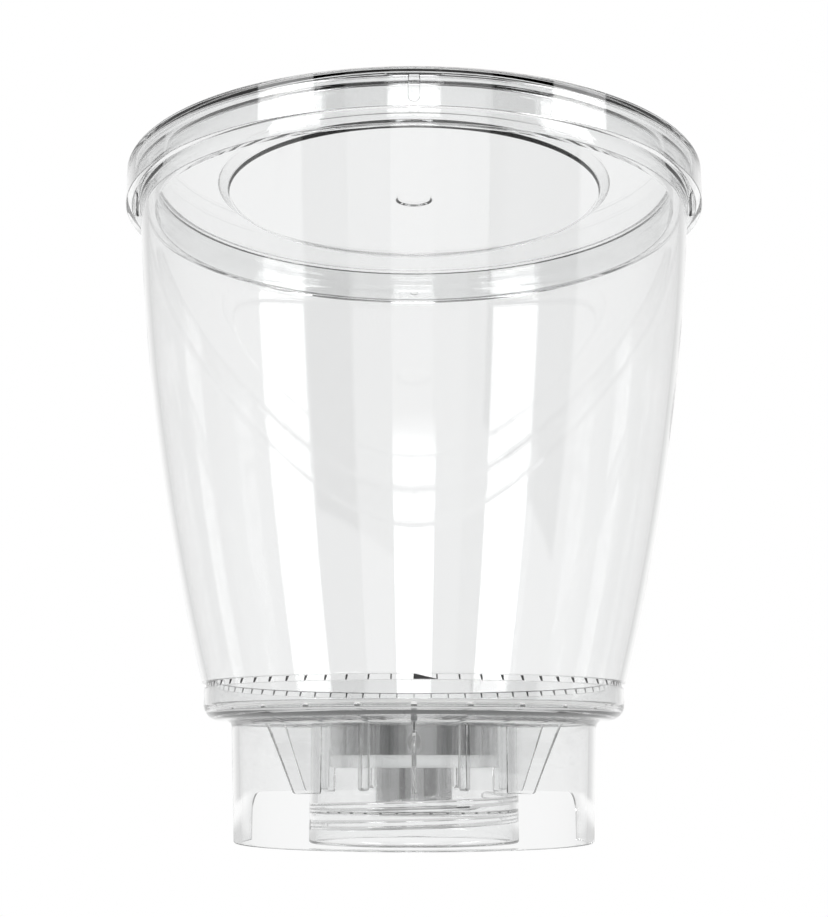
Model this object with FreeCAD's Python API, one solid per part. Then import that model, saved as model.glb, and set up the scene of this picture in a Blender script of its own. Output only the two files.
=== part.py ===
"""Bottle-top vacuum filtration unit: a clear cup with a lid over a membrane dish that screws
onto a 45 mm bottle neck. Millimetres, +Z up. The origin is on the axis, on the bench under the
skirt. +Y is the back, where the skirt is open and the vacuum hose goes on."""
import FreeCAD, Part
import math
import os

from FreeCAD import Placement, Rotation, Vector

# ---- Driving dimensions ----
# Support skirt that the unit stands on
SKIRT_FOOT_R = 41.9         # outer radius on the bench
SKIRT_TOP_R = 43.0          # outer radius under the dish
SKIRT_WALL = 1.8
SKIRT_HEIGHT = 27.9         # bench to the underside of the dish
SKIRT_OUTER_FILLET = 1.6    # skirt to dish, outside
SKIRT_INNER_FILLET = 3.0    # skirt to dish, inside
SKIRT_FOOT_ROUND = 0.5

# Arched opening in the back of the skirt
ARCH_HEIGHT = 11.2
ARCH_HALF_ANGLE = 79.5      # degrees each side of the back, on the bench
ARCH_SLANT = 1.5            # how far each side leans in towards the top
ARCH_CORNER_R = 6.0

# Dish that holds the membrane
DISH_R = 49.5
DISH_WALL = 1.5
DISH_FLOOR = 1.8            # thickness of the dish's floor
DISH_DEPTH = 5.55           # floor to the top of the dish's wall
DISH_CORNER_R = 3.5         # rounded bottom edge
DISH_INNER_CORNER_R = 1.2

# Threaded collar for the bottle's neck
COLLAR_R = 24.5
COLLAR_BORE_R = 22.6        # root of the thread
COLLAR_GUIDE_R = 23.1       # plain guide below the thread
COLLAR_GUIDE_HEIGHT = 7.0
COLLAR_LEAD_IN = 0.5
COLLAR_OUTER_ROUND = 0.5

# Sealing boss, gasket and spout inside the collar
BOSS_R = 19.9
BOSS_BORE_R = 14.4
BOSS_DROP = 8.0             # how far it hangs under the dish
GASKET_THICK = 2.8
GASKET_BORE_R = 14.8
SPOUT_R = 9.05
SPOUT_WALL = 1.3
SPOUT_DROP = 18.9           # how far it hangs under the dish

# Vertical ribs on the collar's bore that centre the bottle's mouth
NECK_RIB_COUNT = 6
NECK_RIB_WIDTH = 1.5
NECK_RIB_TIP_R = 20.2       # radius of the circle that the ribs leave free
NECK_RIB_DROP = 15.9        # how far they hang under the dish

# Gusset ribs between the collar and the dish
GUSSET_COUNT = 6
GUSSET_THICK = 1.0
GUSSET_TOP_R = 38.2         # where the slanting edge meets the dish
GUSSET_STEP_R = 30.9        # where it meets the flat foot
GUSSET_DROP = 16.6          # how far the foot hangs under the dish

# Vacuum port on the back
PORT_R = 5.0
PORT_DROP = 4.8             # axis under the dish
PORT_BORE_R = 2.2
PORT_BRIDGE_WALL = 0.7      # round the bore, between the collar and the boss
PORT_MOUTH_GAP = 0.8        # mouth of the port beyond the dish's wall
PORT_SOCKET_R = 3.2
PORT_SOCKET_DEPTH = 14.0

# Hose connector in the port
CONNECTOR_CLEARANCE = 0.1
CONNECTOR_SPIGOT = 12.0
CONNECTOR_FLANGE_R = 5.8
CONNECTOR_FLANGE_THICK = 1.6
CONNECTOR_STEM_R = 3.5
CONNECTOR_STEM = 17.0
CONNECTOR_BORE_R = 1.8
BARB_COUNT = 3
BARB_HEIGHT = 0.75
BARB_PITCH = 4.6
BARB_LAND = 0.4

# Porous plug that keeps the vacuum line sterile
PLUG_LENGTH = 8.0
PLUG_INSET = 2.0            # from the bottom of the socket
PLUG_CLEARANCE = 0.05

# Support grid and membrane
GRID_THICK = 1.4
GRID_CLEARANCE = 0.25
GRID_RING_WIDTH = 1.6
GRID_RING_COUNT = 4
GRID_HUB_R = 5.0
GRID_SPOKE_COUNT = 24
GRID_SPOKE_WIDTH = 1.2
MEMBRANE_THICK = 0.25
MEMBRANE_CLEARANCE = 0.5

# Funnel
FUNNEL_WALL = 1.6
FUNNEL_HEIGHT = 122.9       # shoulder to rim
FUNNEL_FOOT_STEP = 0.5      # how far the shoulder stands out from the dish's wall
FUNNEL_TOP_R = 68.3         # outer radius at the rim
FUNNEL_BULGE = 3.33         # how far the side bows out from the straight cone
TONGUE_CLEARANCE = 0.15
TONGUE_WALL = 0.9
RIM_STEP = 0.9              # how far the rim band stands out from the side
RIM_BAND_HEIGHT = 6.6       # where the band starts to flare out, under the rim
RIM_LAND = 1.5              # upright face at the top of the band
RIM_ROUND = 0.3

# Notched seam between funnel and dish
SEAM_HEIGHT = 1.25
SEAM_INSET = 0.4            # how far the groove is set back from the dish's wall
SEAM_RIB_COUNT = 64
SEAM_RIB_HEIGHT = 0.45
SEAM_RIB_WIDTH = 0.55

# Lid
LID_RIM_GAP = 0.7           # between the rim band and the lid's outer wall
LID_WALL = 1.5
LID_TOP = 1.4
LID_SKIRT = 8.9             # overall height of the outer wall
LID_EDGE_ROUND = 0.3
LID_FOOT_ROUND = 0.15       # on the feet of the outer wall and the plug ring
LID_PLUG_DEPTH = 9.3        # plug ring under the rim
LID_PLUG_WALL = 1.4
LID_PLUG_CLEARANCE = 0.2
WELL_R = 46.3               # sunk middle that the next unit stacks on
WELL_DEPTH = 1.9
WELL_SLOPE = 2.7            # width of the sloping step around it
GATE_R = 4.6
GATE_DEPTH = 0.35
VENT_RIB_COUNT = 4
VENT_RIB_WIDTH = 2.5
VENT_RIB_LENGTH = 6.1
VENT_RIB_CLEARANCE = 0.1

# ---- Levels and radii that follow ----
DISH_UNDER_Z = SKIRT_HEIGHT
DISH_FLOOR_Z = DISH_UNDER_Z + DISH_FLOOR
ROOT_Z = DISH_UNDER_Z + DISH_FLOOR / 2      # inside the floor, where what hangs under it starts
DISH_RIM_Z = DISH_FLOOR_Z + DISH_DEPTH
DISH_BORE_R = DISH_R - DISH_WALL
GRID_TOP_Z = DISH_FLOOR_Z + GRID_THICK
MEMBRANE_TOP_Z = GRID_TOP_Z + MEMBRANE_THICK
SHOULDER_Z = DISH_RIM_Z + SEAM_HEIGHT
RIM_Z = SHOULDER_Z + FUNNEL_HEIGHT
LID_TOP_Z = RIM_Z + LID_TOP
BOSS_FACE_Z = DISH_UNDER_Z - BOSS_DROP
PORT_Z = DISH_UNDER_Z - PORT_DROP
PORT_MOUTH_Y = DISH_R + PORT_MOUTH_GAP
SOCKET_END_Y = PORT_MOUTH_Y - PORT_SOCKET_DEPTH
TONGUE_R = DISH_BORE_R - TONGUE_CLEARANCE
FUNNEL_FOOT_R = DISH_R + FUNNEL_FOOT_STEP
SEAM_R = DISH_R - SEAM_INSET
RIM_R = FUNNEL_TOP_R + RIM_STEP
LID_R = RIM_R + LID_RIM_GAP + LID_WALL

AXIS = Vector(0, 0, 1)
CENTRE = Vector(0, 0, 0)
BACK = Vector(0, 1, 0)
SAME_POINT = 1e-6           # corners nearer than this are one


# ---- Shape helpers ----
def in_section(radius, height):
    return Vector(radius, 0, height)


def rounded_corner(before, corner, after, radius):
    """The arc of this radius in a corner, as its start, middle and end."""
    back = (before - corner).normalize()
    ahead = (after - corner).normalize()
    half_angle = back.getAngle(ahead) / 2
    reach = radius / math.tan(half_angle)
    middle_way = (back + ahead).normalize()
    arc_centre = corner + middle_way * (radius / math.sin(half_angle))
    return corner + back * reach, arc_centre - middle_way * radius, corner + ahead * reach


def closed_face(corners):
    """A flat face through corners given as (point, fillet radius)."""
    points = [Vector(point) for point, _ in corners]
    bends = []
    for index, (_, radius) in enumerate(corners):
        point = points[index]
        following = points[(index + 1) % len(points)]
        if radius > 0:
            bends.append(rounded_corner(points[index - 1], point, following, radius))
        else:
            bends.append((point, point, point))
    edges = []
    for index, (start, middle, end) in enumerate(bends):
        if start != end:
            edges.append(Part.Arc(start, middle, end).toShape())
        next_start = bends[(index + 1) % len(bends)][0]
        if end.distanceToPoint(next_start) > SAME_POINT:
            edges.append(Part.LineSegment(end, next_start).toShape())
    return Part.Face(Part.Wire(edges))


def turned(corners):
    """A solid turned about the axis from (radius, height) or (radius, height, fillet) corners."""
    full = [(in_section(c[0], c[1]), c[2] if len(c) > 2 else 0) for c in corners]
    return closed_face(full).revolve(CENTRE, AXIS, 360)


def tube(outer_r, inner_r, low, high):
    return turned([(inner_r, low), (outer_r, low), (outer_r, high), (inner_r, high)])


def around(shape, count, first_degrees=0.0):
    """Copies of a shape spaced evenly about the axis."""
    copies = []
    for index in range(count):
        copy = shape.copy()
        copy.rotate(CENTRE, AXIS, first_degrees + 360.0 * index / count)
        copies.append(copy)
    return copies


def one_piece(first, others):
    return first.fuse(others).removeSplitter()


def save(name, shape):
    if shape.ShapeType == "Compound" and len(shape.Solids) == 1:
        shape = shape.Solids[0]
    shape.exportStep(os.path.join("parts", name + ".step"))


# ---- Base: dish, skirt, collar, boss, spout, ribs and port in one moulding ----
def skirt_radius(height):
    """Outer radius of the tapered skirt."""
    return SKIRT_FOOT_R + (SKIRT_TOP_R - SKIRT_FOOT_R) * height / SKIRT_HEIGHT


def dish_and_skirt():
    return turned([
        (SKIRT_FOOT_R - SKIRT_WALL, 0, SKIRT_FOOT_ROUND),
        (SKIRT_FOOT_R, 0, SKIRT_FOOT_ROUND),
        (SKIRT_TOP_R, DISH_UNDER_Z, SKIRT_OUTER_FILLET),
        (DISH_R, DISH_UNDER_Z, DISH_CORNER_R),
        (DISH_R, DISH_RIM_Z),
        (DISH_BORE_R, DISH_RIM_Z),
        (DISH_BORE_R, DISH_FLOOR_Z, DISH_INNER_CORNER_R),
        (0, DISH_FLOOR_Z),
        (0, DISH_UNDER_Z),
        (SKIRT_TOP_R - SKIRT_WALL, DISH_UNDER_Z, SKIRT_INNER_FILLET),
    ])


def arch_opening():
    """The curved block with rounded upper corners that opens the back of the skirt."""
    inner_r = SKIRT_FOOT_R - 2 * SKIRT_WALL     # a wall's thickness clear of the skirt each way
    outer_r = SKIRT_TOP_R + SKIRT_WALL
    below = -SKIRT_FOOT_ROUND
    reach = ARCH_SLANT + ARCH_CORNER_R
    corner_degrees = ARCH_HALF_ANGLE - math.degrees(math.asin(reach / SKIRT_FOOT_R))
    section = closed_face([
        (in_section(inner_r, below), 0),
        (in_section(outer_r, below), 0),
        (in_section(outer_r, ARCH_HEIGHT), 0),
        (in_section(inner_r, ARCH_HEIGHT), 0),
    ])
    middle = section.revolve(CENTRE, AXIS, 2 * corner_degrees)
    middle.rotate(CENTRE, AXIS, 90 - corner_degrees)
    end_face = closed_face([
        (in_section(-reach / 2, below), 0),
        (in_section(reach, below), 0),
        (in_section(ARCH_CORNER_R, ARCH_HEIGHT), ARCH_CORNER_R),
        (in_section(-reach / 2, ARCH_HEIGHT), 0),
    ])
    right_end = end_face.extrude(BACK * (outer_r - inner_r))
    right_end.translate(BACK * inner_r)
    right_end.rotate(CENTRE, AXIS, -corner_degrees)
    left_end = right_end.mirror(CENTRE, Vector(1, 0, 0))
    return middle.fuse([right_end, left_end])


def collar():
    return turned([
        (COLLAR_GUIDE_R + COLLAR_LEAD_IN, 0),
        (COLLAR_R, 0, COLLAR_OUTER_ROUND),
        (COLLAR_R, ROOT_Z),
        (COLLAR_BORE_R, ROOT_Z),
        (COLLAR_BORE_R, COLLAR_GUIDE_HEIGHT + COLLAR_GUIDE_R - COLLAR_BORE_R),
        (COLLAR_GUIDE_R, COLLAR_GUIDE_HEIGHT),
        (COLLAR_GUIDE_R, COLLAR_LEAD_IN),
    ])


def boss():
    return tube(BOSS_R, BOSS_BORE_R, BOSS_FACE_Z, ROOT_Z)


def spout():
    tip_z = DISH_UNDER_Z - SPOUT_DROP
    return Part.makeCylinder(SPOUT_R, ROOT_Z - tip_z, Vector(0, 0, tip_z))


def spout_hole():
    tip_z = DISH_UNDER_Z - SPOUT_DROP
    return Part.makeCylinder(SPOUT_R - SPOUT_WALL, DISH_FLOOR_Z - tip_z, Vector(0, 0, tip_z))


def neck_rib():
    """A rib on the collar's bore, round at its lower end."""
    low = DISH_UNDER_Z - NECK_RIB_DROP
    half = NECK_RIB_WIDTH / 2
    wall_r = (COLLAR_BORE_R + COLLAR_R) / 2
    depth = Vector(wall_r - NECK_RIB_TIP_R, 0, 0)
    left = Vector(NECK_RIB_TIP_R, -half, low + half)
    right = Vector(NECK_RIB_TIP_R, half, low + half)
    top = ROOT_Z
    edges = [
        Part.Arc(left, Vector(NECK_RIB_TIP_R, 0, low), right).toShape(),
        Part.LineSegment(right, Vector(NECK_RIB_TIP_R, half, top)).toShape(),
        Part.LineSegment(Vector(NECK_RIB_TIP_R, half, top),
                         Vector(NECK_RIB_TIP_R, -half, top)).toShape(),
        Part.LineSegment(Vector(NECK_RIB_TIP_R, -half, top), left).toShape(),
    ]
    return Part.Face(Part.Wire(edges)).extrude(depth)


def gusset():
    """A thin slanting rib from the collar out under the dish."""
    root_r = (COLLAR_BORE_R + COLLAR_R) / 2
    foot_z = DISH_UNDER_Z - GUSSET_DROP
    corners = [
        (in_section(root_r, foot_z), 0),
        (in_section(GUSSET_STEP_R, foot_z), GUSSET_THICK),
        (in_section(GUSSET_TOP_R, DISH_UNDER_Z), 0),
        (in_section(GUSSET_TOP_R, ROOT_Z), 0),
        (in_section(root_r, ROOT_Z), 0),
    ]
    rib = closed_face(corners).extrude(BACK * GUSSET_THICK)
    rib.translate(BACK * (-GUSSET_THICK / 2))
    return rib


def port_boss():
    """The port's outside, from the collar's wall to its mouth, and its bridge to the boss."""
    start_y = (COLLAR_BORE_R + COLLAR_R) / 2
    outside = Part.makeCylinder(PORT_R, PORT_MOUTH_Y - start_y, Vector(0, start_y, PORT_Z), BACK)
    bridge_y = (BOSS_BORE_R + BOSS_R) / 2
    bridge_r = PORT_BORE_R + PORT_BRIDGE_WALL
    bridge = Part.makeCylinder(bridge_r, start_y - bridge_y, Vector(0, bridge_y, PORT_Z), BACK)
    return outside, bridge


def port_hole():
    """The air way from the port's mouth to the ring space round the spout."""
    start_y = (SPOUT_R + BOSS_BORE_R) / 2
    air_way = Part.makeCylinder(PORT_BORE_R, PORT_MOUTH_Y - start_y, Vector(0, start_y, PORT_Z), BACK)
    socket = Part.makeCylinder(PORT_SOCKET_R, PORT_SOCKET_DEPTH, Vector(0, SOCKET_END_Y, PORT_Z), BACK)
    return air_way.fuse(socket)


def make_base():
    dish = dish_and_skirt().cut(arch_opening())
    pieces = [collar(), boss(), spout(), *port_boss()]
    pieces += around(gusset(), GUSSET_COUNT, 90.0)
    pieces += around(neck_rib(), NECK_RIB_COUNT)
    return one_piece(dish, pieces).cut([spout_hole(), port_hole()]).removeSplitter()


# ---- What the base holds ----
def make_neck_gasket():
    return tube(BOSS_R, GASKET_BORE_R, BOSS_FACE_Z - GASKET_THICK, BOSS_FACE_Z)


def make_support_grid():
    """Spokes and rings that carry the membrane and let the filtrate run to the spout."""
    outer_r = DISH_BORE_R - GRID_CLEARANCE - DISH_INNER_CORNER_R
    inner_r = outer_r - GRID_RING_WIDTH
    rings = [tube(outer_r, inner_r, DISH_FLOOR_Z, GRID_TOP_Z)]
    pitch = (inner_r - GRID_HUB_R) / GRID_RING_COUNT
    for index in range(1, GRID_RING_COUNT):
        ring_r = GRID_HUB_R + pitch * index
        rings.append(tube(ring_r + GRID_RING_WIDTH / 2, ring_r - GRID_RING_WIDTH / 2,
                          GRID_TOP_Z - GRID_THICK / 2, GRID_TOP_Z))
    hub = Part.makeCylinder(GRID_HUB_R, GRID_THICK, Vector(0, 0, DISH_FLOOR_Z))
    spoke_length = (outer_r + inner_r) / 2 - GRID_HUB_R / 2
    spoke = Part.makeBox(spoke_length, GRID_SPOKE_WIDTH, GRID_THICK,
                         Vector(GRID_HUB_R / 2, -GRID_SPOKE_WIDTH / 2, DISH_FLOOR_Z))
    return one_piece(hub, rings + around(spoke, GRID_SPOKE_COUNT))


def make_membrane():
    radius = DISH_BORE_R - MEMBRANE_CLEARANCE
    return Part.makeCylinder(radius, MEMBRANE_THICK, Vector(0, 0, GRID_TOP_Z))


# ---- Vacuum port's own pieces, turned about the port's axis ----
def turned_on_port(corners):
    """A solid turned about the port from (radius, distance back) corners."""
    solid = turned(corners)
    solid.Placement = Placement(Vector(0, 0, PORT_Z), Rotation(AXIS, BACK)).multiply(solid.Placement)
    return solid


def make_hose_connector():
    spigot_r = PORT_SOCKET_R - CONNECTOR_CLEARANCE
    barb_r = CONNECTOR_STEM_R + BARB_HEIGHT
    start_y = PORT_MOUTH_Y - CONNECTOR_SPIGOT
    stem_y = PORT_MOUTH_Y + CONNECTOR_FLANGE_THICK
    tip_y = stem_y + CONNECTOR_STEM
    corners = [
        (CONNECTOR_BORE_R, start_y),
        (spigot_r, start_y),
        (spigot_r, PORT_MOUTH_Y),
        (CONNECTOR_FLANGE_R, PORT_MOUTH_Y),
        (CONNECTOR_FLANGE_R, stem_y),
        (CONNECTOR_STEM_R, stem_y),
    ]
    for index in reversed(range(BARB_COUNT)):
        barb_y = tip_y - BARB_PITCH * (index + 1)
        corners += [
            (CONNECTOR_STEM_R, barb_y),
            (barb_r, barb_y),
            (barb_r, barb_y + BARB_LAND),
        ]
    corners += [(CONNECTOR_STEM_R, tip_y), (CONNECTOR_BORE_R, tip_y)]
    return turned_on_port(corners)


def make_vent_plug():
    radius = PORT_BORE_R - PLUG_CLEARANCE
    start_y = SOCKET_END_Y - PLUG_INSET - PLUG_LENGTH
    return Part.makeCylinder(radius, PLUG_LENGTH, Vector(0, start_y, PORT_Z), BACK)


# ---- Funnel ----
def side_circle():
    """Centre and radius of the side's arc, from its two ends and its bulge."""
    low = in_section(FUNNEL_FOOT_R, SHOULDER_Z)
    high = in_section(FUNNEL_TOP_R, RIM_Z)
    middle = (low + high) * 0.5 + in_section(FUNNEL_BULGE, 0)
    circle = Part.Circle(low, middle, high)
    return circle.Center, circle.Radius


def side_point(height, inset=0.0):
    """A point on the side's arc, moved inwards."""
    centre, radius = side_circle()
    outward = math.sqrt(radius ** 2 - (height - centre.z) ** 2)
    return in_section(centre.x + outward - inset, height)


def side_arc(start_z, end_z, inset=0.0):
    middle_z = (start_z + end_z) / 2
    return Part.Arc(side_point(start_z, inset), side_point(middle_z, inset),
                    side_point(end_z, inset)).toShape()


def funnel_wall():
    """The turned wall: tongue, seam, bowed side and rim band."""
    band_z = RIM_Z - RIM_BAND_HEIGHT
    tongue_bore_r = TONGUE_R - TONGUE_WALL
    band_foot = side_point(band_z)
    rim = Vector(RIM_R, 0, RIM_Z)
    rim_round = rounded_corner(in_section(RIM_R, RIM_Z - RIM_LAND), rim, in_section(0, RIM_Z), RIM_ROUND)
    band_top = in_section(RIM_R, RIM_Z - RIM_LAND)
    inner_top = side_point(RIM_Z, FUNNEL_WALL)
    path = [
        side_point(SHOULDER_Z, FUNNEL_WALL),
        in_section(tongue_bore_r, SHOULDER_Z),
        in_section(tongue_bore_r, MEMBRANE_TOP_Z),
        in_section(TONGUE_R, MEMBRANE_TOP_Z),
        in_section(TONGUE_R, DISH_RIM_Z),
        in_section(SEAM_R, DISH_RIM_Z),
        in_section(SEAM_R, SHOULDER_Z),
        side_point(SHOULDER_Z),
    ]
    edges = [Part.LineSegment(a, b).toShape() for a, b in zip(path, path[1:])]
    edges.append(side_arc(SHOULDER_Z, band_z))
    edges.append(Part.LineSegment(band_foot, band_top).toShape())
    edges.append(Part.LineSegment(band_top, rim_round[0]).toShape())
    edges.append(Part.Arc(*rim_round).toShape())
    edges.append(Part.LineSegment(rim_round[2], inner_top).toShape())
    edges.append(side_arc(RIM_Z, SHOULDER_Z, FUNNEL_WALL))
    return Part.Face(Part.Wire(edges)).revolve(CENTRE, AXIS, 360)


def seam_rib():
    """A small wedge in the seam's groove, wide at its top."""
    root_r = SEAM_R - SEAM_RIB_HEIGHT
    half = SEAM_RIB_WIDTH / 2
    corners = [
        (Vector(root_r, -half, SHOULDER_Z), 0),
        (Vector(root_r, half, SHOULDER_Z), 0),
        (Vector(root_r, half / 3, DISH_RIM_Z), 0),
        (Vector(root_r, -half / 3, DISH_RIM_Z), 0),
    ]
    return closed_face(corners).extrude(Vector(2 * SEAM_RIB_HEIGHT, 0, 0))


def index_wedge():
    """The one long ramp in the seam that marks the front: one pitch wide, to the +X side."""
    pitch_degrees = 360.0 / SEAM_RIB_COUNT
    block = tube(SEAM_R + SEAM_RIB_HEIGHT, SEAM_R - SEAM_RIB_HEIGHT, DISH_RIM_Z, SHOULDER_Z)
    pitch = SEAM_R * math.sin(math.radians(pitch_degrees))
    corners = [
        (Vector(0, 0, SHOULDER_Z), 0),
        (Vector(pitch, 0, DISH_RIM_Z), 0),
        (Vector(0, 0, DISH_RIM_Z), 0),
    ]
    ramp = closed_face(corners).extrude(BACK * (-2 * SEAM_R))
    return block.common(ramp)


def make_funnel():
    ribs = around(seam_rib(), SEAM_RIB_COUNT, -90.0)
    return one_piece(funnel_wall(), ribs + [index_wedge()])


# ---- Lid ----
def lid_shell():
    """The turned lid: outer wall, flat rim land, sunk middle and plug ring."""
    well_under_z = RIM_Z - WELL_DEPTH
    well_top_z = LID_TOP_Z - WELL_DEPTH
    plug_foot_z = RIM_Z - LID_PLUG_DEPTH
    plug_r = side_point(plug_foot_z, FUNNEL_WALL).x - LID_PLUG_CLEARANCE
    foot_z = LID_TOP_Z - LID_SKIRT
    return turned([
        (0, well_under_z),
        (WELL_R, well_under_z, WELL_DEPTH / 2),
        (WELL_R + WELL_SLOPE, RIM_Z, WELL_DEPTH / 2),
        (plug_r - LID_PLUG_WALL, RIM_Z, LID_PLUG_WALL / 2),
        (plug_r - LID_PLUG_WALL, plug_foot_z, LID_FOOT_ROUND),
        (plug_r, plug_foot_z, LID_FOOT_ROUND),
        (plug_r, RIM_Z),
        (LID_R - LID_WALL, RIM_Z),
        (LID_R - LID_WALL, foot_z, LID_FOOT_ROUND),
        (LID_R, foot_z, LID_FOOT_ROUND),
        (LID_R, LID_TOP_Z, LID_EDGE_ROUND),
        (WELL_R + WELL_SLOPE, LID_TOP_Z, WELL_DEPTH / 2),
        (WELL_R, well_top_z, WELL_DEPTH / 2),
        (0, well_top_z),
    ])


def vent_rib():
    """A round-ended rib inside the lid's outer wall, which centres the lid on the rim."""
    half = VENT_RIB_WIDTH / 2
    tip_r = RIM_R + VENT_RIB_CLEARANCE
    low = RIM_Z - VENT_RIB_LENGTH
    left = Vector(tip_r, -half, low + half)
    right = Vector(tip_r, half, low + half)
    top_right = Vector(tip_r, half, RIM_Z)
    top_left = Vector(tip_r, -half, RIM_Z)
    edges = [
        Part.Arc(left, Vector(tip_r, 0, low), right).toShape(),
        Part.LineSegment(right, top_right).toShape(),
        Part.LineSegment(top_right, top_left).toShape(),
        Part.LineSegment(top_left, left).toShape(),
    ]
    depth = LID_R - LID_WALL / 2 - tip_r
    return Part.Face(Part.Wire(edges)).extrude(Vector(depth, 0, 0))


def make_lid():
    gate_z = RIM_Z - WELL_DEPTH
    gate = Part.makeCylinder(GATE_R, GATE_DEPTH, Vector(0, 0, gate_z))
    return one_piece(lid_shell().cut(gate), around(vent_rib(), VENT_RIB_COUNT))


os.makedirs("parts", exist_ok=True)
save("base", make_base())
save("neck_gasket", make_neck_gasket())
save("support_grid", make_support_grid())
save("membrane", make_membrane())
save("funnel", make_funnel())
save("lid", make_lid())
save("hose_connector", make_hose_connector())
save("vent_plug", make_vent_plug())
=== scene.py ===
"""Looks of a bottle-top vacuum filtration unit, laid out as an add-on and run as a script.

The clear mouldings are turned from their sections, the rest is dressed on the packed solids.
Metres, +Z up, +Y to the back. Sections are written in millimetres, as (radius, height, fillet)."""
import math

import bmesh
import bpy
from bpy.props import FloatProperty, FloatVectorProperty, IntProperty, PointerProperty
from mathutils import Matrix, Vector


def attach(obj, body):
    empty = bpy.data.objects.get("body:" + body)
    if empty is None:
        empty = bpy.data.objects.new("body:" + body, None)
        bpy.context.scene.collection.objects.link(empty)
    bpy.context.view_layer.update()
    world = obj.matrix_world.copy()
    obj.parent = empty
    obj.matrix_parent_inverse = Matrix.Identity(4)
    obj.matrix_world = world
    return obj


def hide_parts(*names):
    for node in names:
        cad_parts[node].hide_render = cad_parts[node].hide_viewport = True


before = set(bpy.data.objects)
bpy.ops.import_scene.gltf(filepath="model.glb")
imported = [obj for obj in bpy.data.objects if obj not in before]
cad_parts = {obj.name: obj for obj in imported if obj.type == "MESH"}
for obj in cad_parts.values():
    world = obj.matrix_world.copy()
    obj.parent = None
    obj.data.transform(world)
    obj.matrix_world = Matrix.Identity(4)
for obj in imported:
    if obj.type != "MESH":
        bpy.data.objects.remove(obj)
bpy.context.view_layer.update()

bl_info = {
    "name": "Vacuum Filtration Unit",
    "version": (1, 0, 0),
    "blender": (4, 5, 0),
    "location": "View3D > Sidebar > Filtration Unit",
    "description": "Clear mouldings, seam ticks, membrane and studio for a vacuum filtration unit",
    "category": "Add Mesh",
}

MM = 0.001
BODY = "root"

# ---- Levels of the unit, millimetres above the bench ----
DISH_UNDER_Z = 27.9
DISH_FLOOR_Z = 29.7
DISH_RIM_Z = 35.25
MEMBRANE_TOP_Z = 31.35
SHOULDER_Z = 36.5
RIM_Z = 159.4
LID_TOP_Z = 160.8

# ---- Base ----
SKIRT_FOOT_R = 41.9
SKIRT_TOP_R = 43.0
SKIRT_WALL = 1.8
ARCH_HEIGHT = 11.2
ARCH_FOOT_Z = -0.5              # the cut runs out under the bench
ARCH_HALF_ANGLE = math.radians(79.5)
ARCH_SLANT = 1.5
ARCH_CORNER_R = 6.0
DISH_R = 49.5
DISH_BORE_R = 48.0
ROOT_Z = 28.8                   # inside the dish's floor
COLLAR_R = 24.5
COLLAR_BORE_R = 22.6
COLLAR_GUIDE_R = 23.1
COLLAR_GUIDE = 7.0
BOSS_R = 19.9
BOSS_BORE_R = 14.4
BOSS_FACE_Z = 19.9
GASKET_FACE_Z = 17.1
SPOUT_R = 9.05
SPOUT_BORE_R = 7.75
SPOUT_TIP_Z = 9.0
NECK_RIB_WIDTH = 1.5
NECK_RIB_TIP_R = 20.2
NECK_RIB_FOOT_Z = 12.0
GUSSET_THICK = 1.0
GUSSET_TOP_R = 38.2
GUSSET_STEP_R = 30.9
GUSSET_FOOT_Z = 11.3
DISH_CORNER_R = 3.5
DISH_INNER_CORNER_R = 1.2
SKIRT_OUTER_ROUND = 1.6
SKIRT_INNER_ROUND = 1.0
SKIRT_FOOT_ROUND = 0.5
LEAD_IN = 0.5                   # of the collar's guide
GUIDE_ROUND = 0.7
ROOT_ROUND = 0.3                # where a wall meets the dish's underside
TIP_ROUND = 0.2
LIP_ROUND = 0.1
THREAD_ROOT = 1.2               # half width of the thread's ridge at its root and crest
THREAD_CREST = 0.45
THREAD_ROUND = 0.3
THREAD_SUNK = 0.3               # into the collar
PORT_R = 5.0
PORT_Z = 23.1
PORT_BORE_R = 2.2
PORT_BRIDGE_R = 2.9
PORT_MOUTH_Y = 50.3
SOCKET_R = 3.2
SOCKET_END_Y = 36.3

# ---- Funnel ----
FUNNEL_FOOT_R = 50.0
FUNNEL_TOP_R = 68.3
FUNNEL_BULGE = 3.33
FUNNEL_WALL = 1.6
RIM_R = 69.2
RIM_BAND = 6.6
RIM_LAND = 1.5
RIM_ROUND = 0.6
REST = 0.03                     # air that keeps two touching faces apart in the render
TONGUE_R = 47.85
TONGUE_WALL = 0.9
SEAM_R = 49.1
FOOT_ROUND = 0.15               # on the feet of the funnel and the lid

# ---- Lid ----
LID_R = 71.4
LID_WALL = 1.5
LID_SKIRT = 8.9
PLUG_DEPTH = 9.3
PLUG_WALL = 1.4
PLUG_LEAN = 0.4                 # of its inner face, in towards the foot
PLUG_CLEARANCE = 0.2
LID_EDGE_ROUND = 0.5
LID_INNER_ROUND = 0.7
WELL_R = 46.3
WELL_DEPTH = 1.9
WELL_SLOPE = 2.7
GATE_R = 4.6
GATE_DEPTH = 0.35
GATE_SLOPE = 0.5
GATE_ROUND = 0.3
VENT_RIB_WIDTH = 2.5
VENT_RIB_LENGTH = 6.1
VENT_RIB_CLEARANCE = 0.1
VENT_RIB_SUNK = 0.4             # into the lid's top

# ---- Camera: its place in metres, its lens in millimetres ----
CAMERA_PLACE = (0, -0.375, 0.0195)
CAMERA_PITCH = math.radians(10.82)
CAMERA_LENS = 61.27

# ---- Making: steps, and lengths in metres ----
ARC_STEP = math.radians(9)      # of a fillet
SIDE_STEPS = 72                 # along the funnel's bowed side
ROUND_END_STEPS = 16            # round a rib's end
SHARP_ANGLE = math.radians(28)
WELD = 2e-6
BENCH_GAP = 0.0003              # air between the unit's foot and the bench
ZONE_EDGE = 0.0002              # over which one finish of the base turns into the next


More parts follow.
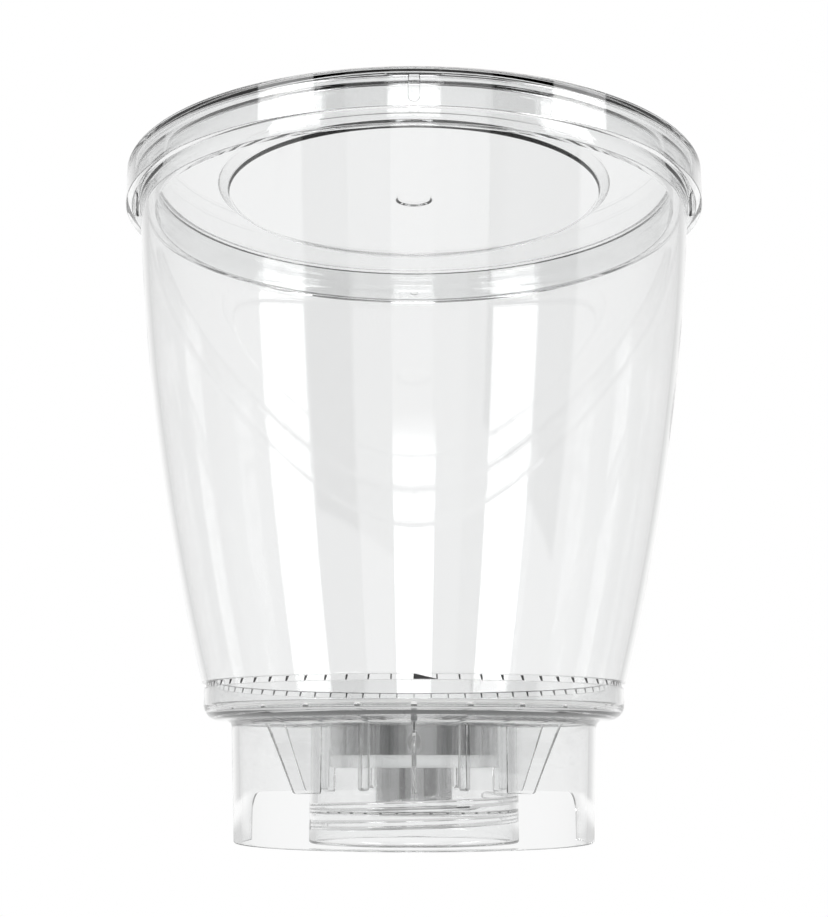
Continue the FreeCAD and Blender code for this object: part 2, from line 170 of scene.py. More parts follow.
# ---- Sizes, finishes and studio that a user may change ----
class CupSizes(bpy.types.PropertyGroup):
    facets: IntProperty(
        name="Facets", description="Facets round each turned moulding", default=288, min=32)


class SeamSizes(bpy.types.PropertyGroup):
    tick_count: IntProperty(
        name="Ticks", description="Ticks round the seam", default=64, min=3)
    tick_thickness: FloatProperty(
        name="Tick thickness", description="Thickness of a tick",
        default=0.00022, unit="LENGTH")
    wedge_height: FloatProperty(
        name="Wedge height", description="How far the index wedge stands out of the seam",
        default=0.0004, unit="LENGTH")


class ThreadSizes(bpy.types.PropertyGroup):
    pitch: FloatProperty(
        name="Pitch", description="Rise of the neck thread in one turn",
        default=0.004, unit="LENGTH")
    turns: FloatProperty(
        name="Turns", description="Turns of the neck thread", default=1.6)
    start_height: FloatProperty(
        name="Start", description="Height of the thread's lower end above the bench",
        default=0.004, unit="LENGTH")
    crest_radius: FloatProperty(
        name="Crest radius", description="Free radius inside the thread",
        default=0.0209, unit="LENGTH")


class Finishes(bpy.types.PropertyGroup):
    clear_colour: FloatVectorProperty(
        name="Clear plastic", description="Tint of the clear mouldings",
        subtype="COLOR", default=(0.966, 0.969, 0.969), min=0, max=1)
    clear_ior: FloatProperty(
        name="Index", description="Refractive index of the clear mouldings", default=1.59)
    clear_wave: FloatProperty(
        name="Waviness", description="Strength of the slow waves in the polished walls",
        default=0.03, min=0)
    # Grey tint of the boss and spout: painted shade, standing in for the dark they show through
    # the clear plastic
    boss_shade_colour: FloatVectorProperty(
        name="Boss and spout", description="Tint of the base's boss and spout",
        subtype="COLOR", default=(0.68, 0.68, 0.68), min=0, max=1)
    membrane_colour: FloatVectorProperty(
        name="Membrane", description="Colour of the membrane",
        subtype="COLOR", default=(0.86, 0.86, 0.85), min=0, max=1)
    gasket_colour: FloatVectorProperty(
        name="Gasket", description="Colour of the neck gasket",
        subtype="COLOR", default=(0.97, 0.975, 0.975), min=0, max=1)
    # Black of the seam's ticks and index wedge: painted shade on thin plates, standing in for the
    # seam's shading
    tick_shade_colour: FloatVectorProperty(
        name="Ticks", description="Colour of the seam ticks",
        subtype="COLOR", default=(0.02, 0.02, 0.02), min=0, max=1)
    plug_colour: FloatVectorProperty(
        name="Vent plug", description="Colour of the porous plug",
        subtype="COLOR", default=(0.85, 0.85, 0.84), min=0, max=1)


class Studio(bpy.types.PropertyGroup):
    softbox: FloatProperty(
        name="Softboxes", description="Brightness of the softboxes as gloss shows them",
        default=4.0, min=0)
    walls: FloatProperty(
        name="Walls", description="Brightness of the studio's walls as gloss shows them",
        default=0.65, min=0)
    sides: FloatProperty(
        name="Sides", description="Brightness beside and behind the unit as gloss shows it",
        default=0.7, min=0)
    backdrop: FloatProperty(
        name="Backdrop", description="Brightness of the white backdrop", default=1.0, min=0)
    ceiling: FloatProperty(
        name="Ceiling", description="Brightness of the dark overhead", default=0.05, min=0)
    bench: FloatProperty(
        name="Bench", description="Brightness of the front of the bench as gloss shows it",
        default=0.7, min=0)
    bench_radius: FloatProperty(
        name="Bench radius", description="Radius of the bench", default=0.25, unit="LENGTH")


# ---- Sections ----
def fillet(before, corner, after, radius):
    """Points of the arc that rounds a corner of a section."""
    back = (before - corner).normalized()
    ahead = (after - corner).normalized()
    half = back.angle(ahead) / 2
    reach = radius / math.tan(half)
    start, end = corner + back * reach, corner + ahead * reach
    centre = corner + (back + ahead).normalized() * (radius / math.sin(half))
    from_centre = start - centre
    sweep = math.pi - 2 * half
    if from_centre.y * back.x - from_centre.x * back.y < 0:
        sweep = -sweep
    steps = max(2, math.ceil(abs(sweep) / ARC_STEP))
    points = []
    for index in range(steps + 1):
        turn = sweep * index / steps
        points.append(centre + Vector((
            from_centre.x * math.cos(turn) - from_centre.y * math.sin(turn),
            from_centre.x * math.sin(turn) + from_centre.y * math.cos(turn))))
    points[-1] = end
    return points


def section(corners, closed):
    """Section points through (radius, height, fillet) corners."""
    spots = [Vector(corner[:2]) for corner in corners]
    points = []
    for index, corner in enumerate(corners):
        radius = corner[2] if len(corner) > 2 else 0
        at_end = not closed and index in (0, len(corners) - 1)
        if radius and not at_end:
            points += fillet(spots[index - 1], spots[index],
                             spots[(index + 1) % len(spots)], radius)
        else:
            points.append(spots[index])
    return points


def side_radius(height, inset=0.0):
    """Radius of the funnel's bowed side at a height."""
    low = Vector((FUNNEL_FOOT_R, SHOULDER_Z))
    high = Vector((FUNNEL_TOP_R, RIM_Z))
    middle = (low + high) / 2 + Vector((FUNNEL_BULGE, 0))
    # Centre of the circle through the three points
    a, b = low - middle, high - middle
    cross = 2 * (a.x * b.y - a.y * b.x)
    centre = middle + Vector((b.y * a.length_squared - a.y * b.length_squared,
                              a.x * b.length_squared - b.x * a.length_squared)) / cross
    reach = (low - centre).length
    return centre.x + math.sqrt(reach ** 2 - (height - centre.y) ** 2) - inset


def side_points(start, end, inset=0.0):
    """Points up or down the funnel's side, both ends included."""
    return [(side_radius(z, inset), z) for z in
            (start + (end - start) * index / SIDE_STEPS for index in range(SIDE_STEPS + 1))]


def section_mesh(name, points, closed, rail):
    """A section as a line of edges, drawn from the rail that carries it."""
    mesh = bpy.data.meshes.new(name)
    corners = [(point[0] * MM - rail, -point[1] * MM, 0) for point in points]
    edges = [(index, index + 1) for index in range(len(corners) - 1)]
    if closed:
        edges.append((len(corners) - 1, 0))
    mesh.from_pydata(corners, edges, [])
    return mesh


# ---- Geometry trees ----
class Wires:
    """Adds nodes to a tree and joins them up."""

    def __init__(self, tree):
        self.tree = tree

    def node(self, kind, links=None, **settings):
        """A node with its settings, and its inputs by name or number: a socket or a value."""
        node = self.tree.nodes.new(kind)
        for key, value in settings.items():
            setattr(node, key, value)
        for key, value in (links or {}).items():
            if isinstance(value, bpy.types.NodeSocket):
                self.tree.links.new(value, node.inputs[key])
            else:
                node.inputs[key].default_value = value
        return node

    def maths(self, operation, *values):
        """The output of a Math node."""
        node = self.node("ShaderNodeMath", dict(enumerate(values)), operation=operation)
        return node.outputs[0]

    def ramp(self, value, low, high):
        """0 at low and 1 at high, eased."""
        node = self.node("ShaderNodeMapRange", {"Value": value, "From Min": low, "From Max": high},
                         interpolation_type="SMOOTHSTEP")
        return node.outputs[0]

    def band(self, value, low, high, soft):
        """1 between low and high, easing to 0 over the soft width outside them."""
        rise = self.ramp(value, low - soft, low)
        fall = self.ramp(value, high + soft, high)
        return self.maths("MULTIPLY", rise, fall)


def geometry_tree(name, inputs):
    """A geometry tree with its group nodes. inputs: name -> socket type."""
    tree = bpy.data.node_groups.new(name, "GeometryNodeTree")
    tree.interface.new_socket("Geometry", in_out="INPUT", socket_type="NodeSocketGeometry")
    for socket, kind in inputs.items():
        tree.interface.new_socket(socket, in_out="INPUT", socket_type="NodeSocket" + kind)
    tree.interface.new_socket("Geometry", in_out="OUTPUT", socket_type="NodeSocketGeometry")
    wires = Wires(tree)
    return tree, wires, wires.node("NodeGroupInput").outputs


def close_tree(wires, geometry, material):
    """Ends a tree in real geometry with its material."""
    real = wires.node("GeometryNodeRealizeInstances", {"Geometry": geometry})
    painted = wires.node("GeometryNodeSetMaterial",
                         {"Geometry": real.outputs[0], "Material": material})
    wires.node("NodeGroupOutput", {0: painted.outputs[0]})


def turning_tree():
    """Carries a section round the axis on a ring-shaped rail."""
    tree, wires, given = geometry_tree(
        "Turned section", {"Rail": "Float", "Facets": "Int", "Material": "Material"})
    line = wires.node("GeometryNodeMeshToCurve", {0: given["Geometry"]})
    ring = wires.node("GeometryNodeCurvePrimitiveCircle",
                      {"Resolution": given["Facets"], "Radius": given["Rail"]})
    upright = wires.node("GeometryNodeSetCurveNormal", {0: ring.outputs[0]})
    upright.mode = "Z_UP"
    skin = wires.node("GeometryNodeCurveToMesh", {0: upright.outputs[0], 1: line.outputs[0]})
    whole = wires.node("GeometryNodeMergeByDistance", {0: skin.outputs[0], "Distance": WELD})
    close_tree(wires, whole.outputs[0], given["Material"])
    return tree


def ring_tree():
    """Copies a shape evenly round the axis."""
    tree, wires, given = geometry_tree("Ring of copies", {"Count": "Int", "Material": "Material"})
    spots = wires.node("GeometryNodePoints", {"Count": given["Count"]})
    index = wires.node("GeometryNodeInputIndex").outputs[0]
    turn = wires.maths("DIVIDE", wires.maths("MULTIPLY", index, 2 * math.pi), given["Count"])
    turned = wires.node("ShaderNodeCombineXYZ", {"Z": turn})
    copies = wires.node("GeometryNodeInstanceOnPoints", {
        "Points": spots.outputs[0], "Instance": given["Geometry"], "Rotation": turned.outputs[0]})
    close_tree(wires, copies.outputs[0], given["Material"])
    return tree


def thread_tree():
    """A thread's ridge: its section carried up a helix, dying out at both ends."""
    tree, wires, given = geometry_tree("Thread", {
        "Radius": "Float", "Pitch": "Float", "Turns": "Float", "Foot": "Float",
        "Material": "Material"})
    line = wires.node("GeometryNodeMeshToCurve", {0: given["Geometry"]})
    rise = wires.maths("MULTIPLY", given["Pitch"], given["Turns"])
    helix = wires.node("GeometryNodeCurveSpiral", {
        "Resolution": 96, "Rotations": given["Turns"], "Start Radius": given["Radius"],
        "End Radius": given["Radius"], "Height": rise, "Reverse": True})
    upright = wires.node("GeometryNodeSetCurveNormal", {0: helix.outputs[0]})
    upright.mode = "Z_UP"
    along = wires.node("GeometryNodeSplineParameter").outputs[0]
    full = wires.band(along, 0.10, 0.90, 0.10)
    scale = wires.maths("ADD", wires.maths("MULTIPLY", full, 0.94), 0.06)
    sized = wires.node("GeometryNodeSetCurveRadius", {0: upright.outputs[0], "Radius": scale})
    skin = wires.node("GeometryNodeCurveToMesh",
                      {0: sized.outputs[0], 1: line.outputs[0], "Fill Caps": True})
    lift = wires.node("ShaderNodeCombineXYZ", {"Z": given["Foot"]})
    placed = wires.node("GeometryNodeTransform", {
        0: skin.outputs[0], "Translation": lift.outputs[0], "Rotation": (0, 0, math.pi)})
    close_tree(wires, placed.outputs[0], given["Material"])
    return tree


def named_tree(make):
    """The tree that a maker builds, built once."""
    name = make.__doc__
    for tree in bpy.data.node_groups:
        if tree.get("made_as") == name:
            return tree
    tree = make()
    tree["made_as"] = name
    return tree


# ---- Mesh helpers ----
def new_object(name, mesh):
    """An object at the origin, linked to the scene."""
    piece = bpy.data.objects.new(name, mesh)
    bpy.context.scene.collection.objects.link(piece)
    return piece


def settled(piece):
    """Turns a piece's modifiers into its plain mesh."""
    graph = bpy.context.evaluated_depsgraph_get()
    mesh = bpy.data.meshes.new_from_object(
        piece.evaluated_get(graph), preserve_all_data_layers=True, depsgraph=graph)
    piece.modifiers.clear()
    piece.data = mesh
    mesh.name = piece.name
    return piece


def grown(name, start, make_tree, **inputs):
    """A piece that a geometry tree makes out of a starting mesh."""
    piece = new_object(name, start)
    tree = named_tree(make_tree)
    modifier = piece.modifiers.new(tree.name, "NODES")
    modifier.node_group = tree
    for item in tree.interface.items_tree:
        key = item.name.replace(" ", "_").lower()
        if item.in_out == "INPUT" and key in inputs:
            modifier[item.identifier] = inputs[key]
    return settled(piece)


def outward(piece):
    """Makes a closed mesh's faces point outwards and welds its doubles."""
    work = bmesh.new()
    work.from_mesh(piece.data)
    bmesh.ops.remove_doubles(work, verts=work.verts, dist=WELD)
    bmesh.ops.dissolve_degenerate(work, edges=work.edges, dist=WELD / 4)
    bmesh.ops.recalc_face_normals(work, faces=work.faces)
    if work.calc_volume(signed=True) < 0:
        bmesh.ops.reverse_faces(work, faces=work.faces)
    work.to_mesh(piece.data)
    work.free()
    return piece


def polished(piece):
    """Smooth shading that keeps the crisp edges, flats leading the normals."""
    piece.data.shade_smooth()
    piece.data.set_sharp_from_angle(angle=SHARP_ANGLE)
    even = piece.modifiers.new("Even normals", "WEIGHTED_NORMAL")
    even.keep_sharp = True
    even.mode = "FACE_AREA"
    return settled(piece)


def combined(piece, operation, others):
    """Joins other solids to a piece as one skin (UNION) or cuts them out (DIFFERENCE)."""
    for other in others:
        step = piece.modifiers.new(other.name, "BOOLEAN")
        step.operation = operation
        step.solver = "EXACT"
        step.object = other
    settled(piece)
    for other in others:
        spare = other.data
        bpy.data.objects.remove(other)
        bpy.data.meshes.remove(spare)
    return piece


def turned(name, corners, closed, facets, material):
    """A moulding turned about the axis."""
    rail = 0.1
    points = section(corners, closed)
    start = section_mesh(name, points, closed, rail)
    return outward(grown(name, start, turning_tree, rail=rail, facets=facets, material=material))


def prism(name, outline, depth_vector, round_edge=0.0):
    """A solid from a flat outline of points, pushed along a vector, its edges rounded off."""
    work = bmesh.new()
    lower = [work.verts.new(point) for point in outline]
    upper = [work.verts.new(Vector(point) + depth_vector) for point in outline]
    work.faces.new(list(reversed(lower)))
    work.faces.new(upper)
    count = len(outline)
    for index in range(count):
        following = (index + 1) % count
        work.faces.new([lower[index], lower[following], upper[following], upper[index]])
    if round_edge:
        rim = [edge for edge in work.edges if (edge.verts[0] in lower) == (edge.verts[1] in lower)]
        bmesh.ops.bevel(work, geom=rim, offset=round_edge, segments=4, profile=0.5,
                        affect="EDGES", clamp_overlap=True)
    bmesh.ops.recalc_face_normals(work, faces=work.faces)
    mesh = bpy.data.meshes.new(name)
    work.to_mesh(mesh)
    work.free()
    return mesh


def strip(name, rings, capped=False):
    """A mesh through square rings of points, its ends closed where capped."""
    work = bmesh.new()
    loops = [[work.verts.new(point) for point in ring] for ring in rings]
    for near, far in zip(loops, loops[1:]):
        for index in range(4):
            following = (index + 1) % 4
            work.faces.new([near[index], near[following], far[following], far[index]])
    if capped:
        work.faces.new(loops[0])
        work.faces.new(list(reversed(loops[-1])))
        bmesh.ops.recalc_face_normals(work, faces=work.faces)
    mesh = bpy.data.meshes.new(name)
    work.to_mesh(mesh)
    work.free()
    return mesh


def rib_outline(x, width, top, foot):
    """Outline in millimetres of an upright rib with a round foot, across the radius x."""
    half = width / 2
    points = [(half, top)]
    for index in range(ROUND_END_STEPS + 1):
        turn = math.pi * index / ROUND_END_STEPS
        points.append((half * math.cos(turn), foot + half - half * math.sin(turn)))
    points.append((-half, top))
    return [Vector((x, y, z)) * MM for y, z in points]


def rod(name, radius, start_y, end_y):
    """A round rod along the port's axis."""
    outline = []
    for index in range(64):
        turn = 2 * math.pi * index / 64
        outline.append(Vector((radius * math.cos(turn), start_y,
                               PORT_Z + radius * math.sin(turn))) * MM)
    return new_object(name, prism(name, outline, Vector((0, end_y - start_y, 0)) * MM))


def hand_over(piece, slot, material, *nodes):
    """Seats a finished piece on the frame."""
    piece.data.materials.clear()
    piece.data.materials.append(material)
    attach(piece, BODY)
    if nodes:
        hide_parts(*nodes)


# ---- Finishes ----
def finish_material(name):
    """A node material with its shader, its wires and its object coordinates."""
    material = bpy.data.materials.new(name)
    material.use_nodes = True
    wires = Wires(material.node_tree)
    shader = material.node_tree.nodes["Principled BSDF"]
    place = wires.node("ShaderNodeTexCoord").outputs["Object"]
    return material, wires, shader, place


def clear_plastic(name, roughness=0.0):
    """Polished clear plastic with the slow waves and fine scuffs of a moulding."""
    finish = bpy.context.scene.filtration_finishes
    material, wires, shader, place = finish_material(name)
    shader.inputs["Base Color"].default_value = (*finish.clear_colour, 1)
    shader.inputs["Transmission Weight"].default_value = 1.0
    shader.inputs["IOR"].default_value = finish.clear_ior
    wave = wires.node("ShaderNodeTexNoise", {"Vector": place, "Scale": 55.0, "Detail": 1.0})
    scuffs = wires.node("ShaderNodeTexNoise", {"Vector": place, "Scale": 900.0, "Detail": 4.0})
    worn = wires.ramp(scuffs.outputs[0], 0.55, 0.80)
    rough = wires.maths("ADD", wires.maths("MULTIPLY", worn, 0.02), roughness)
    wires.tree.links.new(rough, shader.inputs["Roughness"])
    grained(wires, shader, wave.outputs[0], finish.clear_wave, 0.0004)
    return material


def body_plastic():
    """Clear plastic whose boss and spout, moulded thick, look smoky and bright-skinned."""
    finish = bpy.context.scene.filtration_finishes
    material = clear_plastic("clear_base_plastic")
    wires = Wires(material.node_tree)
    shader = material.node_tree.nodes["Principled BSDF"]
    place = wires.node("ShaderNodeTexCoord").outputs["Object"]
    level = wires.node("ShaderNodeVectorMath", {0: place, 1: (1, 1, 0)}, operation="MULTIPLY")
    reach = wires.node("ShaderNodeVectorMath", {0: level.outputs[0]}, operation="LENGTH")
    radius = reach.outputs["Value"]
    height = wires.node("ShaderNodeSeparateXYZ", {0: place}).outputs[2]

    def zone(inner, outer, low, high, soft_height=ZONE_EDGE):
        """1 in a ring of the base, given in millimetres."""
        return wires.maths("MULTIPLY", wires.band(radius, inner * MM, outer * MM, ZONE_EDGE),
                           wires.band(height, low * MM, high * MM, soft_height))

    # Painted shade: the boss and spout are tinted grey, in noisy streaks
    boss = zone(BOSS_BORE_R - 0.3, BOSS_R + 0.2, BOSS_FACE_Z - 0.1, DISH_UNDER_Z - 0.7)
    spout = zone(-1, SPOUT_R + 0.25, SPOUT_TIP_Z - 0.5, GASKET_FACE_Z)
    painted_shade_zone = wires.maths("MAXIMUM", boss, spout)
    streaks = wires.node("ShaderNodeTexNoise",
                         {"Vector": level.outputs[0], "Scale": 260.0, "Detail": 2.0})
    shade_grey = finish.boss_shade_colour
    tone = wires.node("ShaderNodeMix", {
        0: streaks.outputs[0], 6: (*shaded(shade_grey, 0.8), 1), 7: (*shade_grey, 1)}, data_type="RGBA")
    colour = wires.node("ShaderNodeMix", {
        0: painted_shade_zone, 6: (*finish.clear_colour, 1), 7: tone.outputs[2]}, data_type="RGBA")
    wires.tree.links.new(colour.outputs[2], shader.inputs["Base Color"])
    wires.tree.links.new(painted_shade_zone, shader.inputs["Coat Weight"])
    shader.inputs["Coat IOR"].default_value = 2.6
    shader.inputs["Coat Roughness"].default_value = 0.05
    # Painted light: the dish's floor glows faintly, standing in for the light it carries along
    # inside itself
    floor = zone(COLLAR_R + 1, DISH_BORE_R, DISH_UNDER_Z - 0.2, DISH_FLOOR_Z + 0.2, ZONE_EDGE / 2)
    wires.tree.links.new(floor, shader.inputs["Emission Color"])
    shader.inputs["Emission Strength"].default_value = 0.01
    return material


def speckled(wires, shader, share, dark, light):
    """Mixes two colours over the surface by a share from 0 to 1."""
    colour = wires.node("ShaderNodeMix", {0: share, 6: (*dark, 1), 7: (*light, 1)},
                        data_type="RGBA")
    wires.tree.links.new(colour.outputs[2], shader.inputs["Base Color"])


def shaded(colour, share):
    """A colour made darker or lighter."""
    return [channel * share for channel in colour]


def grained(wires, shader, height, strength, distance):
    """A fine relief on the surface."""
    bump = wires.node("ShaderNodeBump", {
        "Height": height, "Strength": strength, "Distance": distance})
    wires.tree.links.new(bump.outputs[0], shader.inputs["Normal"])


def glowing(shader, strength):
    """A faint white light of its own."""
    shader.inputs["Emission Color"].default_value = (1, 1, 1, 1)
    shader.inputs["Emission Strength"].default_value = strength


def tick_finish():
    """The dark of the seam's ticks."""
    finish = bpy.context.scene.filtration_finishes
    material, wires, shader, place = finish_material("seam_dark")
    grain = wires.node("ShaderNodeTexNoise", {"Vector": place, "Scale": 1500.0, "Detail": 3.0})
    dark = finish.tick_shade_colour
    speckled(wires, shader, grain.outputs[0], dark, shaded(dark, 3))
    shader.inputs["Roughness"].default_value = 0.45
    return material


def membrane_finish():
    """Matt white porous film."""
    finish = bpy.context.scene.filtration_finishes
    material, wires, shader, place = finish_material("porous_film")
    fibre = wires.node("ShaderNodeTexNoise", {"Vector": place, "Scale": 2600.0, "Detail": 5.0})
    cloud = wires.node("ShaderNodeTexNoise", {"Vector": place, "Scale": 40.0, "Detail": 2.0})
    mixed = wires.maths("ADD", wires.maths("MULTIPLY", fibre.outputs[0], 0.7),
                        wires.maths("MULTIPLY", cloud.outputs[0], 0.3))
    white = finish.membrane_colour
    speckled(wires, shader, mixed, shaded(white, 0.93), white)
    grained(wires, shader, fibre.outputs[0], 0.25, 0.00006)
    shader.inputs["Roughness"].default_value = 0.9
    glowing(shader, 0.35)       # painted light: a glow standing in for what comes down through the film
    return material


def gasket_finish():
    """Pale, slightly translucent rubber with a satin skin."""
    finish = bpy.context.scene.filtration_finishes
    material, wires, shader, place = finish_material("pale_rubber")
    cloud = wires.node("ShaderNodeTexNoise", {"Vector": place, "Scale": 260.0, "Detail": 3.0})
    pale = finish.gasket_colour
    speckled(wires, shader, cloud.outputs[0], shaded(pale, 0.94), pale)
    grained(wires, shader, cloud.outputs[0], 0.2, 0.0001)
    shader.inputs["Roughness"].default_value = 0.25
    shader.inputs["Transmission Weight"].default_value = 1.0
    shader.inputs["IOR"].default_value = 1.42
    glowing(shader, 0.07)       # painted light: a glow standing in for what soaks in all round
    return material


def plug_finish():
    """White porous fibre."""
    finish = bpy.context.scene.filtration_finishes
    material, wires, shader, place = finish_material("plug_fibre")
    fibre = wires.node("ShaderNodeTexNoise", {"Vector": place, "Scale": 1800.0, "Detail": 6.0})
    white = finish.plug_colour
    speckled(wires, shader, fibre.outputs[0], shaded(white, 0.7), white)
    grained(wires, shader, fibre.outputs[0], 0.6, 0.0003)
    shader.inputs["Roughness"].default_value = 0.95
    return material


# ---- Pieces ----
class MakeFunnel(bpy.types.Operator):
    """Turn the clear funnel: tongue, seam, bowed side and rim band"""
    bl_idname = "filtration.funnel"
    bl_label = "Funnel"

    def execute(self, context):
        facets = context.scene.filtration_cup.facets
        band_z = RIM_Z - RIM_BAND
        bore = TONGUE_R - TONGUE_WALL
        corners = [
            (bore, SHOULDER_Z),
            (bore, MEMBRANE_TOP_Z + REST, FOOT_ROUND),
            (TONGUE_R, MEMBRANE_TOP_Z + REST, FOOT_ROUND),
            (TONGUE_R, DISH_RIM_Z + REST),
            (SEAM_R, DISH_RIM_Z + REST),
            (SEAM_R, SHOULDER_Z, FOOT_ROUND),
        ]
        corners += side_points(SHOULDER_Z, band_z)
        corners += [(RIM_R, RIM_Z - RIM_LAND), (RIM_R, RIM_Z - REST, RIM_ROUND)]
        corners += side_points(RIM_Z - REST, SHOULDER_Z, FUNNEL_WALL)
        material = clear_plastic("clear_funnel_plastic")
        piece = turned("clear_funnel", corners, True, facets, material)
        hand_over(polished(piece), "clear_funnel", material, "funnel")
        return {"FINISHED"}


class MakeLid(bpy.types.Operator):
    """Turn the clear lid and join its vent ribs"""
    bl_idname = "filtration.lid"
    bl_label = "Lid"

    def execute(self, context):
        facets = context.scene.filtration_cup.facets
        under_z = RIM_Z - WELL_DEPTH
        gate_z = under_z + GATE_DEPTH
        top_z = LID_TOP_Z - WELL_DEPTH
        plug_foot = RIM_Z - PLUG_DEPTH
        plug_r = side_radius(plug_foot, FUNNEL_WALL) - PLUG_CLEARANCE
        foot = LID_TOP_Z - LID_SKIRT
        corners = [
            # Two more rings keep the gate mark's face flat in the shading
            (0, gate_z),
            (GATE_R - 1.3, gate_z),
            (GATE_R - 0.9, gate_z),
            (GATE_R - GATE_SLOPE, gate_z, GATE_ROUND),
            (GATE_R, under_z, GATE_ROUND),
            (WELL_R, under_z, WELL_DEPTH / 2),
            (WELL_R + WELL_SLOPE, RIM_Z, WELL_DEPTH / 2),
            (plug_r - PLUG_WALL, RIM_Z, PLUG_WALL / 2),
            (plug_r - PLUG_WALL - PLUG_LEAN, plug_foot, FOOT_ROUND),
            (plug_r, plug_foot, FOOT_ROUND),
            (plug_r, RIM_Z),
            (LID_R - LID_WALL, RIM_Z, LID_INNER_ROUND),
            (LID_R - LID_WALL, foot, FOOT_ROUND),
            (LID_R, foot, FOOT_ROUND),
            (LID_R, LID_TOP_Z, LID_EDGE_ROUND),
            (WELL_R + WELL_SLOPE, LID_TOP_Z, WELL_DEPTH / 2),
            (WELL_R, top_z, WELL_DEPTH / 2),
            (0, top_z),
        ]
        material = clear_plastic("clear_lid_plastic")
        piece = turned("clear_lid", corners, False, facets, material)
        combined(piece, "UNION", [self.ribs(material)])
        hand_over(polished(piece), "clear_lid", material, "lid")
        return {"FINISHED"}

    def ribs(self, material):
        """The round-ended ribs inside the outer wall."""
        tip = RIM_R + VENT_RIB_CLEARANCE
        outline = rib_outline(
            tip, VENT_RIB_WIDTH, RIM_Z + VENT_RIB_SUNK, RIM_Z - VENT_RIB_LENGTH)
        depth = Vector((LID_R - LID_WALL / 2 - tip, 0, 0)) * MM
        start = prism("vent_rib", outline, depth, 0.0002)
        return grown("vent_ribs", start, ring_tree, count=4, material=material)


